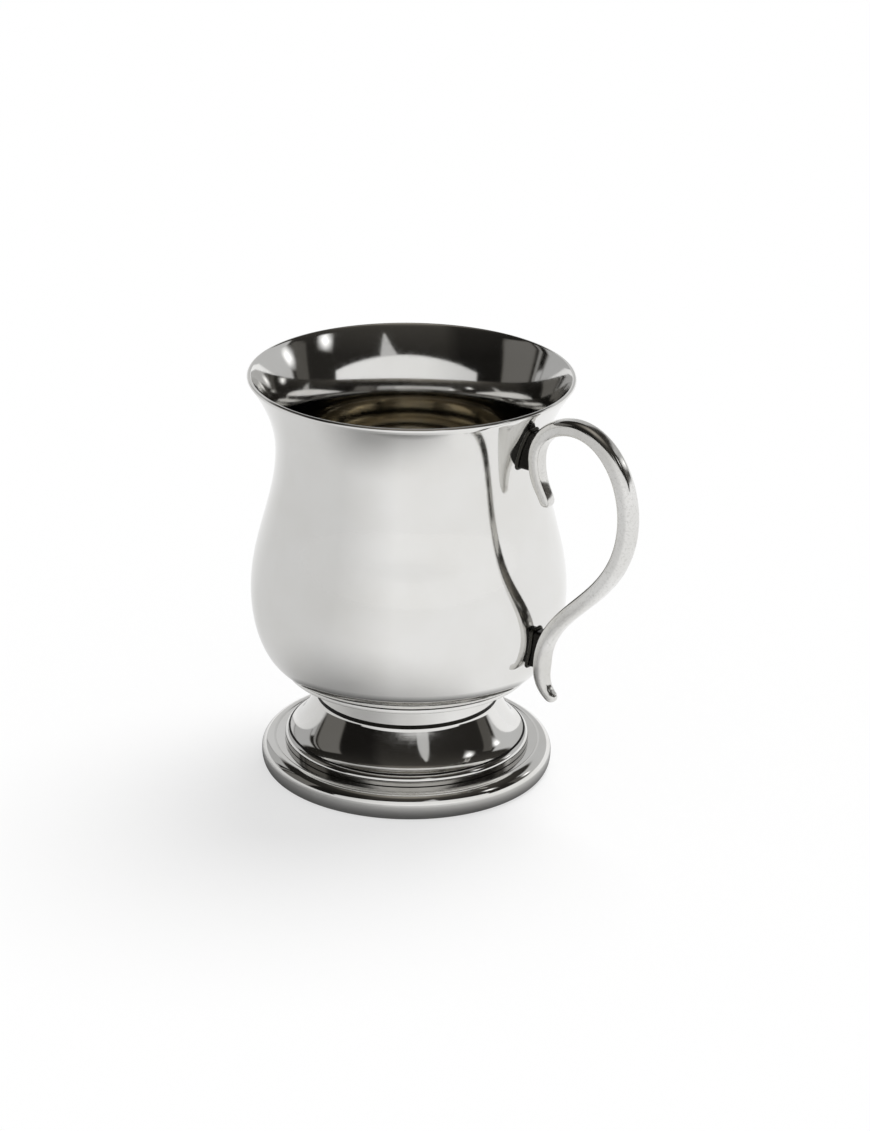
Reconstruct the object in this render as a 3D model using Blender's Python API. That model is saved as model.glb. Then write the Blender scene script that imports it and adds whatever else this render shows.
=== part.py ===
"""Pewter baby mug: a spun bell-shaped bowl on a spun foot, with a cast scroll handle.

Metres, +Z up.  The mug stands on z = 0 with its handle towards +X, and the
middle of its whole box is over the origin.
"""
import math

import bmesh
import bpy
from mathutils import Vector
from mathutils.geometry import interpolate_bezier

# Foot, heights of its outside from the ground up
FOOT_WIDEST_HEIGHT = 0.0030
LEDGE_HEIGHT = 0.0053
CREST_RISE = 0.0001
STEP_HEIGHT = 0.00232
SWEEP_RISE = 0.00738
COLLAR_RISE = 0.00335
COVE_RISE = 0.0030
FLANGE_THICKNESS = 0.0009
FOOT_WALL = 0.0011
STEP_WALL = 0.0009

# Bowl, heights of its outside from its flat bottom up
BELLY_RISE = 0.0160
SHOULDER_RISE = 0.0294
FLARE_RISE = 0.0152

# Bowl, outside radii
BOTTOM_RADIUS = 0.0245
BELLY_RADIUS = 0.03195
WAIST_RADIUS = 0.02695
RIM_RADIUS = 0.0325
BOWL_WALL = 0.0009

# Foot, from the edge of the bowl's bottom in to the neck and out to the ground
FLANGE_OVERHANG = 0.0007
FLANGE_LAND = 0.0016
COVE_DEPTH = 0.0050
SWEEP_REACH = 0.0064
STEP_ROUNDING = 0.00135
LEDGE_WIDTH = 0.00245
CREST_ROLL = 0.0006
EDGE_BULGE = 0.0023
BASE_CORNER_WIDTH = 0.0012
BASE_CORNER_HEIGHT = 0.0026
STANDING_WIDTH = 0.0014

# Handle, along its inner face from the scroll's tip to the tail's tip
UPPER_SEAT_DROP = 0.0083
LOWER_SEAT_DROP = 0.0048
SCROLL_CLEARANCE = 0.0011
TAIL_STANDOFF = 0.0007
SCROLL_SIDE_DROP = 0.0012
SCROLL_DROP = 0.0080
SCROLL_CURL = 0.0024
ARCH_DROP = 0.0030
ARCH_REACH = 0.0079
GRIP_DROP = 0.0149
GRIP_REACH = 0.0221
GRIP_FULLNESS = 0.0170
TAIL_TURN_DROP = 0.0032
TAIL_APPROACH = 0.0150
TAIL_DROP = 0.0069
TAIL_FLICK = 0.0030

# Pull of each tip's curve, as shares of its run sideways and its run up
SCROLL_TIP_PULL = (0.45, 0.34)
TAIL_TIP_PULL = (0.63, 0.20)

# Slant of the foot's sweep from upright at the neck and at the step, in degrees, and how
# far each end holds its slant, as a share of the distance between them
SWEEP_SLANTS = (28, 66)
SWEEP_PULLS = (0.73, 0.21)

# Length of a Bezier handle that makes a quarter ellipse, as a share of its half axis
QUARTER_TENSION = 0.5523

# Handle, across its section; the round corners of its back are shares of its width and of
# its thickness
SCROLL_WIDTH = 0.0037
SCROLL_THICKNESS = 0.0028
GRIP_WIDTH = 0.0040
GRIP_THICKNESS = 0.0035
TAIL_WIDTH = 0.0040
TAIL_THICKNESS = 0.0028
SCROLL_TIP_WIDTH = 0.0029
SCROLL_TIP_THICKNESS = 0.0024
TAIL_TIP_WIDTH = 0.0026
TAIL_TIP_THICKNESS = 0.0019
TIP_ROUNDING = 0.0014
HANDLE_EDGE = 0.0005
BACK_CORNER_ACROSS = 0.36
BACK_CORNER_UP = 0.45

# Lugs between the bowl and the handle
LUG_WIDTH = 0.0030
UPPER_LUG_LENGTH = 0.0080
LOWER_LUG_LENGTH = 0.0078
LUG_EDGE = 0.00015

# Solder round the lugs and under the bowl
FILLET_SPREAD = 0.0007
FILLET_RISE = 0.0004
SEAM_FILLET = 0.0018
SEAM_SLOPE = 0.0007

# Clearance left between pieces that are soldered together
JOINT_GAP = 0.00025

# Fineness of the turned surfaces, and the angle from which an edge shows as an arris
TURN_STEPS = 60
SHARP_ANGLE = math.radians(40)

STEP_TOP = LEDGE_HEIGHT + STEP_HEIGHT
NECK_HEIGHT = STEP_TOP + SWEEP_RISE
COLLAR_TOP = NECK_HEIGHT + COLLAR_RISE
FOOT_TOP = COLLAR_TOP + COVE_RISE + FLANGE_THICKNESS
BOTTOM_HEIGHT = FOOT_TOP + JOINT_GAP
BELLY_HEIGHT = BOTTOM_HEIGHT + BELLY_RISE
WAIST_HEIGHT = BELLY_HEIGHT + SHOULDER_RISE
RIM_HEIGHT = WAIST_HEIGHT + FLARE_RISE

FLANGE_RADIUS = BOTTOM_RADIUS + FLANGE_OVERHANG
COVE_TOP_RADIUS = FLANGE_RADIUS - FLANGE_LAND
NECK_RADIUS = COVE_TOP_RADIUS - COVE_DEPTH
STEP_RADIUS = NECK_RADIUS + SWEEP_REACH
CREST_RADIUS = STEP_RADIUS + LEDGE_WIDTH
FOOT_RADIUS = CREST_RADIUS + EDGE_BULGE

UPPER_SEAT_HEIGHT = RIM_HEIGHT - UPPER_SEAT_DROP
LOWER_SEAT_HEIGHT = BELLY_HEIGHT - LOWER_SEAT_DROP


def clear_scene():
    for old in list(bpy.data.objects):
        bpy.data.objects.remove(old, do_unlink=True)


def metal(name, colour, roughness):
    material = bpy.data.materials.new(name)
    material.use_nodes = True
    shader = material.node_tree.nodes["Principled BSDF"]
    shader.inputs["Base Color"].default_value = (*colour, 1.0)
    shader.inputs["Metallic"].default_value = 1.0
    shader.inputs["Roughness"].default_value = roughness
    material.diffuse_color = (*colour, 1.0)
    return material


def finish_object(name, bm, material, parent):
    """Make a named object of a bmesh, with its faces pointing outwards."""
    bmesh.ops.remove_doubles(bm, verts=bm.verts, dist=1e-7)
    bmesh.ops.recalc_face_normals(bm, faces=bm.faces)
    if bm.calc_volume(signed=True) < 0:
        bmesh.ops.reverse_faces(bm, faces=bm.faces)
    mesh = bpy.data.meshes.new(name)
    bm.to_mesh(mesh)
    bm.free()
    mesh.shade_smooth()
    mesh.set_sharp_from_angle(angle=SHARP_ANGLE)
    mesh.materials.append(material)
    item = bpy.data.objects.new(name, mesh)
    item.parent = parent
    bpy.context.scene.collection.objects.link(item)
    return item


def turned(name, outline, closed, material, parent):
    """Spin an outline of (radius, height) points round the Z axis."""
    bm = bmesh.new()
    verts = [bm.verts.new((radius, 0.0, height)) for radius, height in outline]
    edges = [bm.edges.new(pair) for pair in zip(verts, verts[1:])]
    if closed:
        edges.append(bm.edges.new((verts[-1], verts[0])))
    bmesh.ops.spin(
        bm,
        geom=verts + edges,
        cent=(0.0, 0.0, 0.0),
        axis=(0.0, 0.0, 1.0),
        angle=2.0 * math.pi,
        steps=TURN_STEPS,
        use_merge=True,
    )
    return finish_object(name, bm, material, parent)


def lofted(name, loops, capped, material, parent):
    """Skin rings of equal point counts, and cap the ends or join them to each other."""
    bm = bmesh.new()
    rows = [[bm.verts.new(point) for point in loop] for loop in loops]
    pairs = list(zip(rows, rows[1:]))
    if capped:
        bm.faces.new(rows[0][::-1])
        bm.faces.new(rows[-1])
    else:
        pairs.append((rows[-1], rows[0]))
    count = len(rows[0])
    for first, second in pairs:
        for i in range(count):
            j = (i + 1) % count
            bm.faces.new((first[i], first[j], second[j], second[i]))
    return finish_object(name, bm, material, parent)


def ellipse(centre, across, up, start, end, steps):
    """Points of an ellipse about a centre, from one angle to another in degrees."""
    points = []
    for i in range(steps + 1):
        angle = math.radians(start + (end - start) * i / steps)
        points.append((centre[0] + across * math.cos(angle), centre[1] + up * math.sin(angle)))
    return points


def bowl_radius(height):
    """Outside radius of the bowl at a height between its bottom and its rim."""
    if height >= WAIST_HEIGHT:
        share = (height - WAIST_HEIGHT) / FLARE_RISE
        return WAIST_RADIUS + (RIM_RADIUS - WAIST_RADIUS) * share ** 2
    if height >= BELLY_HEIGHT:
        share = (height - BELLY_HEIGHT) / SHOULDER_RISE
        middle = (BELLY_RADIUS + WAIST_RADIUS) / 2
        swing = (BELLY_RADIUS - WAIST_RADIUS) / 2
        return middle + swing * math.cos(math.pi * share)
    share = min(1.0, (BELLY_HEIGHT - height) / BELLY_RISE)
    return BOTTOM_RADIUS + (BELLY_RADIUS - BOTTOM_RADIUS) * math.sqrt(1 - share ** 2)


def bowl_outside():
    """Outline of the bowl's outside, from the edge of its flat bottom to its lip."""
    bulge = BELLY_RADIUS - BOTTOM_RADIUS
    points = ellipse((BOTTOM_RADIUS, BELLY_HEIGHT), bulge, BELLY_RISE, -90, 0, 9)
    for start, rise, steps in ((BELLY_HEIGHT, SHOULDER_RISE, 9), (WAIST_HEIGHT, FLARE_RISE, 6)):
        for i in range(1, steps + 1):
            height = start + rise * i / steps
            points.append((bowl_radius(height), height))
    return points


def moved_inward(points, distance):
    """The same outline, moved into the bowl by the thickness of its wall."""
    inner = []
    for i, point in enumerate(points):
        before = Vector(points[max(i - 1, 0)])
        after = Vector(points[min(i + 1, len(points) - 1)])
        along = (after - before).normalized()
        inner.append((point[0] - along.y * distance, point[1] + along.x * distance))
    return inner


def build_bowl(material, parent):
    outside = bowl_outside()
    inside = moved_inward(outside, BOWL_WALL)
    inside[0] = (BOTTOM_RADIUS, BOTTOM_HEIGHT + BOWL_WALL)
    middle = (Vector(outside[-1]) + Vector(inside[-1])) / 2
    reach = (Vector(outside[-1]) - Vector(inside[-1])) / 2
    rise = Vector((-reach.y, reach.x))
    lip = []
    for degrees in (45, 90, 135):
        angle = math.radians(degrees)
        lip.append(tuple(middle + reach * math.cos(angle) + rise * math.sin(angle)))
    outline = [(0.0, BOTTOM_HEIGHT)] + outside + lip + inside[::-1]
    outline.append((0.0, BOTTOM_HEIGHT + BOWL_WALL))
    return turned("bowl", outline, False, material, parent)


def foot_sweep(top, bottom, steps):
    """Outline that leaves the neck at a slant and flattens out towards the step, going down."""
    top = Vector(top)
    bottom = Vector(bottom)
    length = (bottom - top).length
    pulls = []
    for degrees, share in zip(SWEEP_SLANTS, SWEEP_PULLS):
        slant = math.radians(degrees)
        pulls.append(Vector((math.sin(slant), -math.cos(slant))) * length * share)
    curve = interpolate_bezier(top, top + pulls[0], bottom - pulls[1], bottom, steps + 1)
    return [(point.x, point.y) for point in curve]


def foot_outside():
    """Outline of the foot's outside, from the top of its flange to the ground."""
    corner = FLANGE_THICKNESS / 4
    flange_under = FOOT_TOP - FLANGE_THICKNESS
    crest_up = LEDGE_HEIGHT + CREST_RISE - FOOT_WIDEST_HEIGHT
    base_edge = FOOT_RADIUS - BASE_CORNER_WIDTH
    base_corner = (base_edge, BASE_CORNER_HEIGHT)
    points = [
        (FLANGE_RADIUS - corner, FOOT_TOP),
        (FLANGE_RADIUS, FOOT_TOP - corner),
        (FLANGE_RADIUS, flange_under + corner),
        (FLANGE_RADIUS - corner, flange_under),
    ]
    points += ellipse((COVE_TOP_RADIUS, COLLAR_TOP), COVE_DEPTH, COVE_RISE, 90, 180, 8)
    step_centre = (STEP_RADIUS - STEP_ROUNDING, STEP_TOP - STEP_ROUNDING)
    step_roll = ellipse(step_centre, STEP_ROUNDING, STEP_ROUNDING, SWEEP_SLANTS[1], 0, 5)
    points += foot_sweep((NECK_RADIUS, NECK_HEIGHT), step_roll[0], 8)
    points += step_roll[1:]
    points.append((STEP_RADIUS, LEDGE_HEIGHT))
    points += ellipse((CREST_RADIUS, LEDGE_HEIGHT), CREST_ROLL, CREST_RISE, 180, 90, 3)
    points += ellipse((CREST_RADIUS, FOOT_WIDEST_HEIGHT), EDGE_BULGE, crest_up, 90, 0, 7)[1:]
    points += ellipse(base_corner, BASE_CORNER_WIDTH, BASE_CORNER_HEIGHT, 0, -90, 6)
    return points


def foot_inside():
    """Outline of the foot's inside, from its standing ring up to the bowl."""
    standing_inner = FOOT_RADIUS - BASE_CORNER_WIDTH - STANDING_WIDTH
    ledge_under = LEDGE_HEIGHT - FOOT_WALL
    edge_centre = (CREST_RADIUS - FOOT_WALL, FOOT_WIDEST_HEIGHT)
    cove_across = COVE_DEPTH + FOOT_WALL
    cove_up = COVE_RISE + FLANGE_THICKNESS
    points = [(standing_inner, 0.0), (standing_inner, BASE_CORNER_HEIGHT)]
    points += ellipse(edge_centre, EDGE_BULGE, ledge_under - FOOT_WIDEST_HEIGHT, 0, 90, 4)
    neck_inner = (NECK_RADIUS - FOOT_WALL, NECK_HEIGHT - FOOT_WALL / 2)
    step_centre = (STEP_RADIUS - STEP_ROUNDING, STEP_TOP - STEP_ROUNDING)
    inner_rounding = STEP_ROUNDING - STEP_WALL
    step_roll = ellipse(step_centre, inner_rounding, inner_rounding, 0, SWEEP_SLANTS[1], 2)
    points.append((STEP_RADIUS - STEP_WALL, ledge_under))
    points += step_roll
    points += foot_sweep(neck_inner, step_roll[-1], 7)[-2::-1]
    points += ellipse((COVE_TOP_RADIUS, COLLAR_TOP), cove_across, cove_up, 180, 90, 7)
    return points


def build_foot(material, parent):
    return turned("foot", foot_outside() + foot_inside(), True, material, parent)


def build_seam_solder(material, parent):
    """Solder run round inside the foot, in the corner between its cove and the bowl."""
    across = COVE_DEPTH + FOOT_WALL
    up = COVE_RISE + FLANGE_THICKNESS
    start = 180 - math.degrees(math.asin(1 - JOINT_GAP / up))
    start_run = across * math.cos(math.radians(start))
    end = math.degrees(math.acos((start_run - SEAM_FILLET) / across))
    centre = (COVE_TOP_RADIUS, COLLAR_TOP + JOINT_GAP)
    outline = ellipse(centre, across, up, start, end, 4)
    outline.append((COVE_TOP_RADIUS + start_run - SEAM_FILLET - SEAM_SLOPE, FOOT_TOP))
    return turned("foot_seam_solder", outline, True, material, parent)


def seat_line(height):
    """Distance from the axis of the straight line through the two handle seats."""
    upper = bowl_radius(UPPER_SEAT_HEIGHT)
    lower = bowl_radius(LOWER_SEAT_HEIGHT)
    share = (UPPER_SEAT_HEIGHT - height) / (UPPER_SEAT_HEIGHT - LOWER_SEAT_HEIGHT)
    return upper + (lower - upper) * share


def scroll_side(side_height, arch_height):
    """Distance from the axis of the scroll's inner face, whose back clears the flare at the seat."""
    rise = arch_height - side_height + SCROLL_THICKNESS
    reach = ARCH_REACH + SCROLL_THICKNESS
    seat_half = UPPER_LUG_LENGTH / 2 + FILLET_SPREAD
    steps = 8
    needed = []
    for i in range(steps + 1):
        height = UPPER_SEAT_HEIGHT + seat_half * (2 * i / steps - 1)
        share = min(1.0, max(0.0, (height - side_height) / rise))
        lean = reach * (1 - math.sqrt(1 - share ** 2))
        needed.append(bowl_radius(height) + SCROLL_CLEARANCE - lean)
    return max(needed) + SCROLL_THICKNESS


def handle_spans():
    """Bezier spans of the inner face: four points, the section at each end, and steps."""
    side_height = UPPER_SEAT_HEIGHT - SCROLL_SIDE_DROP
    tip_height = side_height - SCROLL_DROP
    arch_height = RIM_HEIGHT - ARCH_DROP
    grip_height = arch_height - GRIP_DROP
    tail_height = LOWER_SEAT_HEIGHT - TAIL_TURN_DROP
    end_height = tail_height - TAIL_DROP

    side = scroll_side(side_height, arch_height)
    arch = side + ARCH_REACH
    grip = seat_line(grip_height) + GRIP_REACH
    tail = seat_line(LOWER_SEAT_HEIGHT) + TAIL_STANDOFF
    tip = side + SCROLL_CURL
    end = tail + TAIL_FLICK

    side_pull = SCROLL_DROP * QUARTER_TENSION
    rise_pull = (arch_height - side_height) * QUARTER_TENSION
    drop_pull = GRIP_DROP * QUARTER_TENSION
    tail_pull = TAIL_DROP * QUARTER_TENSION

    scroll_tip_size = (SCROLL_TIP_WIDTH, SCROLL_TIP_THICKNESS)
    scroll_size = (SCROLL_WIDTH, SCROLL_THICKNESS)
    arch_size = ((SCROLL_WIDTH + GRIP_WIDTH) / 2, (SCROLL_THICKNESS + GRIP_THICKNESS) / 2)
    grip_size = (GRIP_WIDTH, GRIP_THICKNESS)
    tail_size = (TAIL_WIDTH, TAIL_THICKNESS)
    tail_tip_size = (TAIL_TIP_WIDTH, TAIL_TIP_THICKNESS)

    scroll = (
        (tip, tip_height),
        (tip - SCROLL_CURL * SCROLL_TIP_PULL[0], tip_height + SCROLL_DROP * SCROLL_TIP_PULL[1]),
        (side, side_height - side_pull),
        (side, side_height),
    )
    rise = (
        (side, side_height),
        (side, side_height + rise_pull),
        (arch - ARCH_REACH * QUARTER_TENSION, arch_height),
        (arch, arch_height),
    )
    fall = (
        (arch, arch_height),
        (arch + (grip - arch) * QUARTER_TENSION, arch_height),
        (grip, grip_height + drop_pull),
        (grip, grip_height),
    )
    sweep = (
        (grip, grip_height),
        (grip, grip_height - GRIP_FULLNESS),
        (tail, tail_height + TAIL_APPROACH),
        (tail, tail_height),
    )
    flick = (
        (tail, tail_height),
        (tail, tail_height - tail_pull),
        (end - TAIL_FLICK * TAIL_TIP_PULL[0], end_height + TAIL_DROP * TAIL_TIP_PULL[1]),
        (end, end_height),
    )
    return [
        (scroll, scroll_tip_size, scroll_size, 6),
        (rise, scroll_size, arch_size, 7),
        (fall, arch_size, grip_size, 8),
        (sweep, grip_size, tail_size, 14),
        (flick, tail_size, tail_tip_size, 6),
    ]


def handle_stations():
    """Stations along the inner face: place, way along, way out, width and thickness."""
    places = []
    sizes = []
    for knots, first, last, steps in handle_spans():
        curve = interpolate_bezier(*[Vector((x, 0.0, z)) for x, z in knots], steps + 1)
        for i in range(1 if places else 0, steps + 1):
            places.append(curve[i])
            sizes.append([a + (b - a) * i / steps for a, b in zip(first, last)])
    stations = []
    for i, (place, size) in enumerate(zip(places, sizes)):
        along = (places[min(i + 1, len(places) - 1)] - places[max(i - 1, 0)]).normalized()
        outward = Vector((-along.z, 0.0, along.x))
        stations.append((place, along, outward, *size))
    return stations


def section_out(sideways, width, thickness):
    """Height of the back over the flat inner face: flat in the middle, with round corners."""
    across = width * BACK_CORNER_ACROSS
    share = max(0.0, abs(sideways) - (width / 2 - across)) / across
    drop = 1 - math.sqrt(max(0.0, 1 - share ** 2))
    return thickness * (1 - BACK_CORNER_UP * drop)


def section_ring(centre, outward, width, thickness, scale):
    """Ring of points of the section: flat inner face, eased edges, sides, rounded back."""
    half = width / 2
    edge = min(HANDLE_EDGE, thickness / 4, width / 4)
    outline = [(-half, edge), (-half + edge, 0.0), (0.0, 0.0), (half - edge, 0.0), (half, edge)]
    for degrees in range(0, 181, 30):
        sideways = half * math.cos(math.radians(degrees))
        outline.append((sideways, section_out(sideways, width, thickness)))
    ring = []
    for sideways, out in outline:
        offset = Vector((0.0, sideways, 0.0)) + outward * (out - thickness / 2)
        ring.append(centre + offset * scale)
    return ring


def tip_rings(station, way):
    """Rings that round off one end of the handle, from the last full section outwards."""
    place, along, outward, width, thickness = station
    centre = place + outward * thickness / 2
    rings = []
    for degrees in (25, 50, 75):
        angle = math.radians(degrees)
        moved = centre + along * way * TIP_ROUNDING * math.sin(angle)
        rings.append(section_ring(moved, outward, width, thickness, math.cos(angle)))
    return rings


def build_handle(material, parent):
    stations = handle_stations()
    rings = tip_rings(stations[0], -1)[::-1]
    for place, _, outward, width, thickness in stations:
        rings.append(section_ring(place + outward * thickness / 2, outward, width, thickness, 1.0))
    rings += tip_rings(stations[-1], 1)
    return lofted("handle", rings, True, material, parent)


def handle_face(height, sideways, upper):
    """Distance from the axis of the handle's surface that faces the bowl at a height."""
    line = []
    for place, _, outward, width, thickness in handle_stations():
        out = section_out(sideways, width, thickness) if upper else 0.0
        line.append(place + outward * out)
    if not upper:
        line.reverse()
    rising = [(a, b) for a, b in zip(line, line[1:]) if a.z <= height < b.z]
    low, high = rising[0]
    return low.x + (high.x - low.x) * (height - low.z) / (high.z - low.z)


def build_lug(name, seat_height, length, upper, material, parent):
    """Block that fills the space between the bowl and the handle at one of its seats."""
    half = LUG_WIDTH / 2
    flank = half - LUG_EDGE
    levels = 7
    loops = []
    for sideways, inset in (
        (-half, LUG_EDGE), (-flank, 0.0), (-flank / 2, 0.0), (0.0, 0.0),
        (flank / 2, 0.0), (flank, 0.0), (half, LUG_EDGE),
    ):
        bowl_side = []
        handle_side = []
        for i in range(levels):
            height = seat_height + (length - 2 * inset) * (i / (levels - 1) - 0.5)
            radius = bowl_radius(height) + JOINT_GAP + inset
            near = math.sqrt(radius ** 2 - sideways ** 2)
            far = handle_face(height, sideways, upper) - JOINT_GAP - inset
            bowl_side.append(Vector((near, sideways, height)))
            handle_side.append(Vector((far, sideways, height)))
        loops.append(bowl_side + handle_side[::-1])
    return lofted(name, loops, True, material, parent)


def build_lug_solder(name, seat_height, length, material, parent):
    """Collar of solder on the bowl, all round the foot of a lug."""
    half_width = LUG_WIDTH / 2 + JOINT_GAP
    half_length = length / 2 + JOINT_GAP
    corner = half_width / 2
    corners = ((1, 1, 0), (-1, 1, 90), (-1, -1, 180), (1, -1, 270))
    loops = []
    for spread, lift in ((0.0, 0.0), (FILLET_SPREAD, 0.0), (0.0, FILLET_RISE)):
        loop = []
        for across, up, start in corners:
            centre = (across * (half_width - corner), seat_height + up * (half_length - corner))
            reach = corner + spread
            for sideways, height in ellipse(centre, reach, reach, start, start + 90, 3):
                radius = bowl_radius(height) + JOINT_GAP + lift
                loop.append(Vector((math.sqrt(radius ** 2 - sideways ** 2), sideways, height)))
        loops.append(loop)
    return lofted(name, loops, False, material, parent)


def handle_reach():
    """Distance from the axis of the point of the handle that is furthest out."""
    return max(
        place.x + outward.x * thickness for place, _, outward, _, thickness in handle_stations()
    )


def build_mug():
    clear_scene()
    spun = metal("spun_pewter", (0.60, 0.59, 0.57), 0.16)
    spun_foot = metal("spun_foot_pewter", (0.56, 0.55, 0.53), 0.18)
    cast = metal("cast_pewter", (0.58, 0.57, 0.54), 0.28)
    dark_cast = metal("dark_cast_pewter", (0.40, 0.39, 0.36), 0.38)
    solder = metal("solder", (0.48, 0.47, 0.44), 0.45)

    axis = bpy.data.objects.new("mug_axis", None)
    axis.location.x = (RIM_RADIUS - handle_reach()) / 2
    bpy.context.scene.collection.objects.link(axis)

    build_bowl(spun, axis)
    build_foot(spun_foot, axis)
    build_seam_solder(solder, axis)
    build_handle(cast, axis)
    for place, height, length in (
        ("upper", UPPER_SEAT_HEIGHT, UPPER_LUG_LENGTH),
        ("lower", LOWER_SEAT_HEIGHT, LOWER_LUG_LENGTH),
    ):
        upper = place == "upper"
        build_lug(place + "_handle_lug", height, length, upper, dark_cast, axis)
        build_lug_solder(place + "_handle_solder", height, length, solder, axis)


build_mug()
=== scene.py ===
# %% [markdown]
# # A pewter baby mug, turned and soldered
#
# The real mug is made of three main pieces.  The bowl and the foot are spun from flat
# discs of pewter on a lathe, and the handle is cast.  Two small lugs and a little solder
# join them.  This lesson makes each piece the way its maker thinks of it: an outline that
# is turned round an axis, and a tapered bar that is bent along a curve.
#
# The frame below is the finished CAD model.  It fixes where everything goes, so each
# piece here lands where the CAD piece is, and then takes its place.

import math

import bmesh
import bpy
from mathutils import Matrix, Vector


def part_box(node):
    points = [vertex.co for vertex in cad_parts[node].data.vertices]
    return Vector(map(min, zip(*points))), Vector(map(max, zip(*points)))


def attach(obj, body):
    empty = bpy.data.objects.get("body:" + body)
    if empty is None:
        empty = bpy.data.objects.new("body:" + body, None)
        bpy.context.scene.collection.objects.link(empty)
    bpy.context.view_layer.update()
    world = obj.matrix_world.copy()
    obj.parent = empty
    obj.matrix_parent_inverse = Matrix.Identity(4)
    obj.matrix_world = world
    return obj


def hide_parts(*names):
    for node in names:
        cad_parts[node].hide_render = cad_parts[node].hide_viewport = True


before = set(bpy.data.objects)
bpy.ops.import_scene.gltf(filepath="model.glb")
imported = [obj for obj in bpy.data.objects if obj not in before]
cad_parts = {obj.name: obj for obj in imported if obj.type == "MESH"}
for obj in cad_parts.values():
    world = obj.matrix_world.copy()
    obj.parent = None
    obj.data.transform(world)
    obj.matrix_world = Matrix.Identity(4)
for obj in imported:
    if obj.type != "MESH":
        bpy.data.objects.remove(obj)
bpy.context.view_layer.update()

# %% [markdown]
# ## Where the mug stands
#
# Every size below is in metres.  The bowl and the foot share one upright axis, and the
# handle's box pushes that axis away from the middle of the whole mug.  The axis could be
# typed in as a number, but the bowl's own box gives it, and then it can't be wrong.

# %% Find the axis and the main heights
LIP_ROUNDING = 0.00069

bowl_low, bowl_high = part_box("bowl")
handle_low, handle_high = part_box("handle")
AXIS_X = (bowl_low.x + bowl_high.x) / 2
AXIS = Vector((AXIS_X, 0.0, 0.0))
BOTTOM_HEIGHT = bowl_low.z
FOOT_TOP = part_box("foot")[1].z
RIM_HEIGHT = bowl_high.z - LIP_ROUNDING
print("axis at", round(AXIS_X, 5), "bottom", round(BOTTOM_HEIGHT, 5), "rim", round(RIM_HEIGHT, 5))

# %% [markdown]
# ## The camera
#
# The photograph is an upright frame of 870 by 1131.  The ellipses of the rim and of the
# foot give the camera's height, distance and tilt.  A camera could be aimed with a
# constraint, but a matrix made from its three directions also holds the small roll.

# %% Set up the camera
CAMERA_TURN = math.radians(37.0)
CAMERA_PITCH = math.radians(22.178)
CAMERA_ROLL = math.radians(0.992)
CAMERA_DISTANCE = 0.650
CAMERA_SIDESTEP = 0.005242
CAMERA_HEIGHT = 0.30794
LENS = 110.62
NEAREST_SEEN = 0.01
FARTHEST_SEEN = 20.0

to_right = Vector((math.cos(CAMERA_TURN), math.sin(CAMERA_TURN), 0.0))
to_front = Vector((math.sin(CAMERA_TURN), -math.cos(CAMERA_TURN), 0.0))
upright = Vector((0.0, 0.0, 1.0))

looking = -to_front * math.cos(CAMERA_PITCH) - upright * math.sin(CAMERA_PITCH)
camera_up = -to_front * math.sin(CAMERA_PITCH) + upright * math.cos(CAMERA_PITCH)
rolled_right = to_right * math.cos(CAMERA_ROLL) + camera_up * math.sin(CAMERA_ROLL)
rolled_up = camera_up * math.cos(CAMERA_ROLL) - to_right * math.sin(CAMERA_ROLL)

bpy.ops.object.camera_add()
camera = bpy.context.object
camera.name = "camera"
camera.data.lens = LENS
camera.data.clip_start = NEAREST_SEEN
camera.data.clip_end = FARTHEST_SEEN
place = AXIS + to_front * CAMERA_DISTANCE + to_right * CAMERA_SIDESTEP + upright * CAMERA_HEIGHT
turn = Matrix((rolled_right, rolled_up, -looking)).transposed()
camera.matrix_world = Matrix.Translation(place) @ turn.to_4x4()
bpy.context.scene.camera = camera
print("camera at", [round(value, 4) for value in place])

# %% [markdown]
# ## Working by hand, from code
#
# Blender's operators act on whatever is selected.  When a model comes in, all of it is
# selected, so each step starts by letting go of everything.  Faces and points are then
# picked by where they are, which is what a modeller does with the mouse.

# %% Helpers for selecting and for closing a piece
MERGE_DISTANCE = 1e-6
ARRIS_ANGLE = math.radians(40)


def let_go():
    """Select nothing."""
    bpy.ops.object.select_all(action="DESELECT")


def pick(piece):
    """Select one piece and make it the one that tools act on."""
    let_go()
    piece.select_set(True)
    bpy.context.view_layer.objects.active = piece


def pick_points(piece, wanted):
    """In edit mode, select the points for which wanted(place) is true."""
    mesh = bmesh.from_edit_mesh(piece.data)
    for point in mesh.verts:
        point.select = wanted(point.co)
    mesh.select_flush_mode()
    bmesh.update_edit_mesh(piece.data)


def close_up(piece):
    """Merge doubled points and turn all faces outwards."""
    bpy.ops.object.mode_set(mode="EDIT")
    bpy.ops.mesh.select_all(action="SELECT")
    bpy.ops.mesh.remove_doubles(threshold=MERGE_DISTANCE)
    bpy.ops.mesh.normals_make_consistent(inside=False)
    bpy.ops.object.mode_set(mode="OBJECT")
    bpy.ops.object.transform_apply(location=True, rotation=True, scale=True)
    bpy.ops.object.shade_smooth_by_angle(angle=ARRIS_ANGLE)
    print(piece.name, "has", len(piece.data.polygons), "faces")


# %% [markdown]
# ## Turning an outline
#
# Spinning metal on a lathe gives a shape that is the same all the way round.  It could
# be built from a cylinder with many cuts, but an outline is easier to read: one point is
# extruded along the outline, as if drawn with a pen, and the line is spun round the axis.
# The many steps keep reflections smooth, because a mirror finish shows every facet.

# %% Turn an outline round the axis
TURN_STEPS = 192
SEED_SIZE = 0.001


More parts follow.
